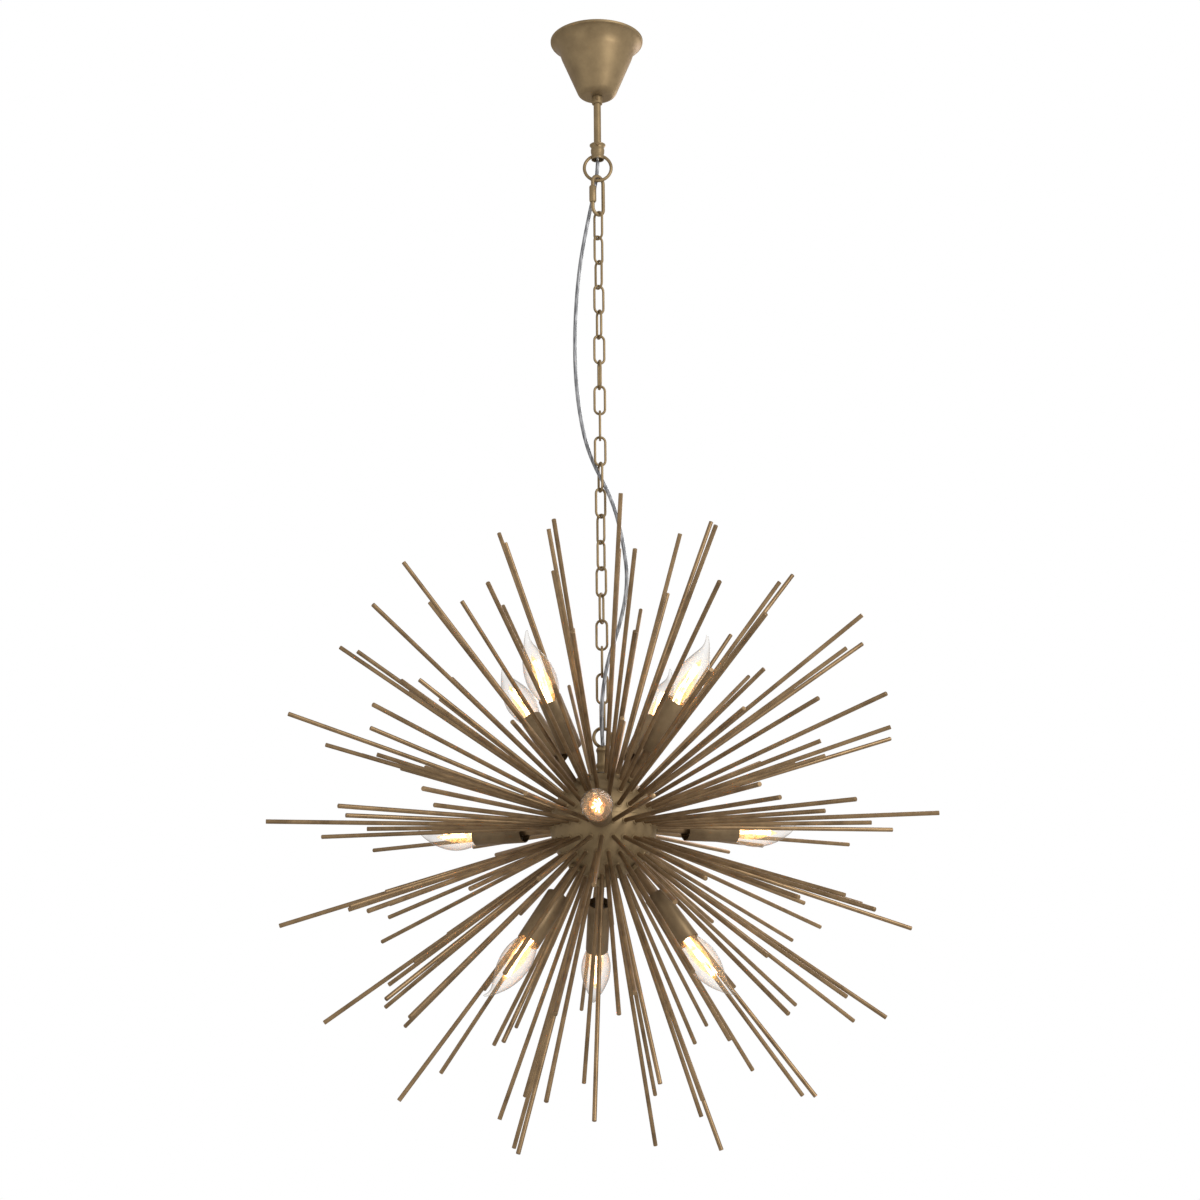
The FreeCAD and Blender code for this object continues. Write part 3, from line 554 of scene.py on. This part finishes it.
# ---- Hub. Two spun brass halves that meet in a seam above the middle row of rods, held together by the
# tube through them and a domed cap nut below.
SHELL_WALL = 2.5 * MM
POLE = 84.5
SEAM_GAP = 0.15
SEAM = math.degrees(math.asin((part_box("hub_upper_shell")[0][2] - HUB.z) / HUB_RADIUS))
for name, node, start, end in (("hub_upper", "hub_upper_shell", SEAM + SEAM_GAP, POLE),
                               ("hub_lower", "hub_lower_shell", -POLE, SEAM - SEAM_GAP)):
    outside = arc((0, HUB.z), HUB_RADIUS, start, end, 26)
    inside = arc((0, HUB.z), HUB_RADIUS - SHELL_WALL, end, start, 12)
    dress(turned(name, outside + inside, 96, closed=True), brass, "hub", node)
bottom_low, bottom_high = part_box("hub_bottom_cap")
bottom_radius = (bottom_high[0] - bottom_low[0]) / 2
bottom_depth = bottom_high[2] - bottom_low[2]
quarter = [math.radians(9 * i) for i in range(10)]
dome = [(bottom_radius * math.cos(a), bottom_high[2] - bottom_depth * math.sin(a)) for a in quarter]
bottom = turned("bottom_finial", [(0, bottom_high[2])] + dome + [(0, bottom_low[2])], 40)
dress(bottom, brass, "hub", "hub_bottom_cap")


# ---- Rods. Straight drawn brass rod with eased cut ends, browner than the hub. They are screwed into it
# square, in nine rows and four lengths, and each stands in a small rim.
def outward(steps, azimuth):
    """Direction from the hub's centre. Azimuth 0 is the front, and it grows to the right."""
    latitude, turn = math.radians(17.5 * steps), math.radians(azimuth)
    return Vector((math.cos(latitude) * math.sin(turn), -math.cos(latitude) * math.cos(turn),
                   math.sin(latitude)))


def upright(way):
    """Turns Z to a direction, and X upwards."""
    side = Vector((0, 0, 1)).cross(way).normalized()
    return Matrix((way.cross(side), -side, way)).transposed().to_quaternion()


REACH = {"l": 0.382, "m": 0.346, "s": 0.306, "x": 0.272}
ROWS = [  # node, latitude in steps, holes, azimuth of the first, rod lengths in turn
    ("rods_row_1", 4, 9, 10, "lmlslmlmm"), ("rods_row_2", 3, 16, -35, "xlmlxmls"),
    ("rods_row_3", 2, 24, 8, "slmxlmls"), ("rods_row_4", 1, 28, 4.5, "xlsmlxm"),
    ("rods_row_5", 0, 28, -2, "mxls"), ("rods_row_6", -1, 28, -2, "slxmlsx"),
    ("rods_row_7", -2, 24, 6, "mslxmlsl"), ("rods_row_8", -3, 18, -55, "mslxlsmll"),
    ("rods_row_9", -4, 9, -6, "mslmlslml"),
]
LAMP_HOLES = {"rods_row_2": (0, 4, 8, 12), "rods_row_5": (0, 9, 19), "rods_row_8": (0, 6, 12)}
ROD_RADIUS = 2.5 * MM
END_EASE = 0.0012
ROD_START = HUB_RADIUS - 0.6 * MM
RIM_START = HUB_RADIUS - 0.4 * MM
lamp_ways = []
rims = []
for row, steps, holes, first, lengths in ROWS:
    rods = []
    for hole in range(holes):
        way = outward(steps, first + 360 * hole / holes)
        if hole in LAMP_HOLES.get(row, ()):
            lamp_ways.append(way)
            continue
        rods.append((HUB + way * ROD_START, upright(way), REACH[lengths[hole % len(lengths)]] - ROD_START))
        rims.append((HUB + way * RIM_START, upright(way), 1))
    rod_pattern = turned("rod_pattern", [(0, 0), (ROD_RADIUS, 0), (ROD_RADIUS, 1 - END_EASE),
                                         (ROD_RADIUS * 0.86, 1), (0, 1)], 20)
    repeated(f"round_{row}", rod_pattern, rods, rod_brass, "hub", row)
rim_pattern = turned("rim_pattern", [
    (ROD_RADIUS, 0), (ROD_RADIUS + 1.7 * MM, 0), (ROD_RADIUS + 1.3 * MM, 1.1 * MM), (ROD_RADIUS, 1.4 * MM),
], 20, closed=True)
repeated("rod_seats", rim_pattern, rims, brass, "hub")


# ---- Lamps. On each, a threaded nipple locked by a hexagon nut carries a steel disc, a black screw
# lampholder and an open sleeve of thin brass tube around both.
def at(distance):
    """Place of a lamp's piece on every lamp, by its distance from the hub's centre."""
    return [(HUB + way * distance * MM, upright(way), 1) for way in lamp_ways]


THREADS = 20
THREAD_PITCH = 2.55 * MM
NIPPLE_LENGTH = 51 * MM
thread = []
for i in range(THREADS):
    thread += [(4.6 * MM, (i + 0.1) * THREAD_PITCH), (5.0 * MM, (i + 0.55) * THREAD_PITCH)]
nipple = turned("nipple_pattern", [(0, 0)] + thread + [(0, NIPPLE_LENGTH)], 24)
repeated("threaded_nipples", nipple, at(61), rod_brass, "hub", "lamp_nipples")

HEXAGON = [(5, 0.3), (7.4, 0.3), (8.5, 1.1), (8.5, 4.5), (7.4, 5.3), (5, 5.3)]
nut = turned("nut_pattern", [(radius * MM, z * MM) for radius, z in HEXAGON], 6, closed=True)
repeated("hexagon_nuts", nut, at(61), brass, "hub", "lamp_nuts")

sleeve_brass = clouded_metal("sleeve_brass", (0.11, 0.077, 0.044), (0.27, 0.19, 0.106), rough=0.46, metal=0.5)
SLEEVE = 13.25 * MM
SLEEVE_INSIDE = 12.25 * MM
SLEEVE_LENGTH = 65 * MM
DEBURR = 0.3 * MM
sleeve = turned("sleeve_pattern", [
    (SLEEVE_INSIDE, DEBURR), (SLEEVE - DEBURR, 0), (SLEEVE, 0.4 * MM), (SLEEVE, SLEEVE_LENGTH - 0.4 * MM),
    (SLEEVE - DEBURR, SLEEVE_LENGTH), (SLEEVE_INSIDE, SLEEVE_LENGTH - DEBURR)], 48, closed=True)
repeated("tube_sleeves", sleeve, at(104), sleeve_brass, "hub", "lamp_sleeves")

steel = clouded_metal("zinc_steel", (0.26, 0.255, 0.24), (0.5, 0.49, 0.46), rough=0.4, metal=0.9)
DISC_THICKNESS = 2 * MM
disc = turned("disc_pattern", [(0, 0), (SLEEVE_INSIDE, 0), (SLEEVE_INSIDE, DISC_THICKNESS),
                               (0, DISC_THICKNESS)], 40)
repeated("sleeve_discs", disc, at(112), steel, "hub", "lamp_discs")

bakelite = clouded_metal("black_bakelite", (0.012, 0.011, 0.01), (0.03, 0.027, 0.024), rough=0.45, metal=0.0)
HOLDER = [(0, 0), (9, 0), (9.5, 1), (9.5, 20), (9, 20.6), (9, 22), (9.5, 22.6), (9.5, 35), (9, 36), (6.3, 36),
          (6.3, 8), (0, 8)]
holder = turned("holder_pattern", [(radius * MM, z * MM) for radius, z in HOLDER], 32)
repeated("screw_lampholders", holder, at(114), bakelite, "hub", "lampholders")

# ---- Bulbs. Clear candle bulbs with long bent tips, which point upwards. Each has a screw cap and a cluster
# of lit filament strands in a warm glow, and turns in its own lampholder.
glass, tree = finish("clear_bulb_glass")
facing = tree.make("ShaderNodeLayerWeight", {}, {"Blend": 0.35}, out="Facing")
# The glass's colour follows the view angle: a painted warm glow where it faces the camera, darkening to
# painted shade at its outline, in place of the light through and off real glass.
glow_to_edge_shade = tree.make("ShaderNodeValToRGB", {"stops": [
    (0.0, (0.7, 0.6, 0.46)), (0.5, (0.34, 0.27, 0.2)), (0.8, (0.05, 0.045, 0.04))]}, {"Fac": facing})
close(glass, tree.make("ShaderNodeBsdfPrincipled", {}, {
    "Base Color": glow_to_edge_shade, "Roughness": 0.06, "IOR": 1.3, "Specular IOR Level": 0.15,
    "Alpha": facing ** 1.3 * 0.9 + 0.07}))

halo, tree = finish("warm_halo")
edge = tree.make("ShaderNodeLayerWeight", {}, {"Blend": 0.5}, out="Facing")
patches = tree.make("ShaderNodeTexNoise", {}, {"Vector": tree.make("ShaderNodeTexCoord", out="Object"),
                                               "Scale": 140.0, "Detail": 3.0})
warm = tree.make("ShaderNodeValToRGB", {"stops": [
    (0.36, (0.9, 0.38, 0.07)), (0.5, (1.0, 0.62, 0.2)), (0.62, (1.0, 0.88, 0.56))]}, {"Fac": patches})
cluster = (patches * 2.6 - 0.65).at_least(0.0)
close(halo, tree.make("ShaderNodeBsdfPrincipled", {}, {
    "Base Color": (0.4, 0.2, 0.06), "Roughness": 0.7, "Emission Color": warm, "Specular IOR Level": 0.0,
    "Emission Strength": 1.0, "Alpha": (1 - edge) * cluster}))

filament, tree = finish("lit_filament")
flicker = tree.make("ShaderNodeTexNoise", {}, {"Vector": tree.make("ShaderNodeTexCoord", out="Object"),
                                               "Scale": 160.0})
hot = tree.make("ShaderNodeValToRGB", {"stops": [(0.3, (1.0, 0.5, 0.13)), (0.6, (1.0, 0.82, 0.5))]},
                {"Fac": flicker})
close(filament, tree.make("ShaderNodeBsdfPrincipled", {}, {
    "Base Color": (1.0, 0.6, 0.25), "Roughness": 0.5, "Emission Color": hot, "Emission Strength": 14.0}))

CAP_START, CAP_END = 8.3, 36.3
GLASS_LENGTH, GLASS_RADIUS, TIP_BEND = 100, 17.5, 9
STATIONS = [  # share of the glass length, of its radius and of the tip's bend
    (0.0, 0.34, 0), (0.12, 0.5, 0), (0.26, 0.82, 0), (0.42, 1.0, 0), (0.58, 0.92, 0), (0.74, 0.63, 0.02),
    (0.86, 0.32, 0.16), (0.94, 0.17, 0.5), (1.0, 0.08, 1.0),
]
BULB_SIDES = 24
STRANDS = 6


def eased(stations):
    """Four stations for each one given, on a curve through its neighbours."""
    points = []
    last = len(stations) - 1
    for i in range(last):
        a, b, c, d = (Vector(stations[min(max(i + k, 0), last)]) for k in (-1, 0, 1, 2))
        for t in (0, 0.25, 0.5, 0.75):
            points.append(0.5 * (2 * b + (c - a) * t + (2 * a - 5 * b + 4 * c - d) * t ** 2
                                 + (3 * b - a - 3 * c + d) * t ** 3))
    return points + [Vector(stations[-1])]


def bulb_ring(height, radius, shift):
    turns = [2 * math.pi * k / BULB_SIDES for k in range(BULB_SIDES)]
    return [Vector((shift + radius * math.cos(a), radius * math.sin(a), height)) * MM for a in turns]


def strand(number):
    """Wavering line of one filament strand up the middle of the bulb."""
    turn = math.radians(60 * number + 20)
    sway = 1 + 0.25 * math.sin(2.4 * number)
    line = []
    for t in (k / 10 for k in range(11)):
        reach = (3.2 + 1.9 * math.sin(4.2 * t + number)) * sway
        angle = turn + 1.1 * t
        line.append(Vector((reach * math.cos(angle), reach * math.sin(angle), 50 + 52 * t)) * MM)
    return line


for number, way in enumerate(lamp_ways, start=1):
    bulb = f"bulb_{number:02d}"
    place = Matrix.Translation(HUB + way * 114 * MM) @ upright(way).to_matrix().to_4x4()
    shape = [(CAP_END + along * GLASS_LENGTH, wide * GLASS_RADIUS, bend * TIP_BEND)
             for along, wide, bend in eased(STATIONS)]
    tip_height, _, tip_shift = shape[-1]
    envelope = rings_mesh(f"{bulb}_glass", [[Vector((0, 0, CAP_END)) * MM]] + [bulb_ring(*s) for s in shape]
                          + [[Vector((tip_shift + 0.8, 0, tip_height + 0.6)) * MM]])
    smooth(envelope, 70)
    envelope.data.transform(place)
    dress(envelope, glass, bulb, bulb)
    threaded = [(0, CAP_START), (3, CAP_START), (5.2, CAP_START + 3)]
    for turn in range(8):
        threaded += [(5.4, CAP_START + 4 + turn * 2.6), (5.9, CAP_START + 5.3 + turn * 2.6)]
    threaded += [(5.9, CAP_END), (0, CAP_END)]
    cap = turned(f"{bulb}_cap", [(radius * MM, z * MM) for radius, z in threaded], 24)
    cap.data.transform(place)
    dress(cap, steel, bulb)
    strand_curve = wire_curve(f"{bulb}_filament", [strand(i) for i in range(STRANDS)], 0.7 * MM, 1, False)
    glow = as_mesh(strand_curve, f"{bulb}_filament")
    glow.data.transform(place)
    dress(smooth(glow, 60), filament, bulb)
    flame = turned(f"{bulb}_halo", [(radius * MM, z * MM) for radius, z in (
        (0, 46), (5.5, 52), (8.6, 64), (9.2, 76), (7.2, 90), (3.4, 103), (0, 112))], 24)
    smooth(flame, 80)
    flame.data.transform(place)
    dress(flame, halo, bulb)

# ---- Fittings that the solids already show plainly: the steel bracket, nuts, tube and pin, and the black
# terminal ring inside the hub. They only take their finishes.
for node, material in (("ceiling_bracket", steel), ("stem_lock_nut", steel), ("cap_cross_pin", steel),
                       ("hub_tube", steel), ("terminal_ring", bakelite), ("hub_inner_nut", steel)):
    solid = bpy.data.objects[node]
    solid.data.materials.clear()
    solid.data.materials.append(material)
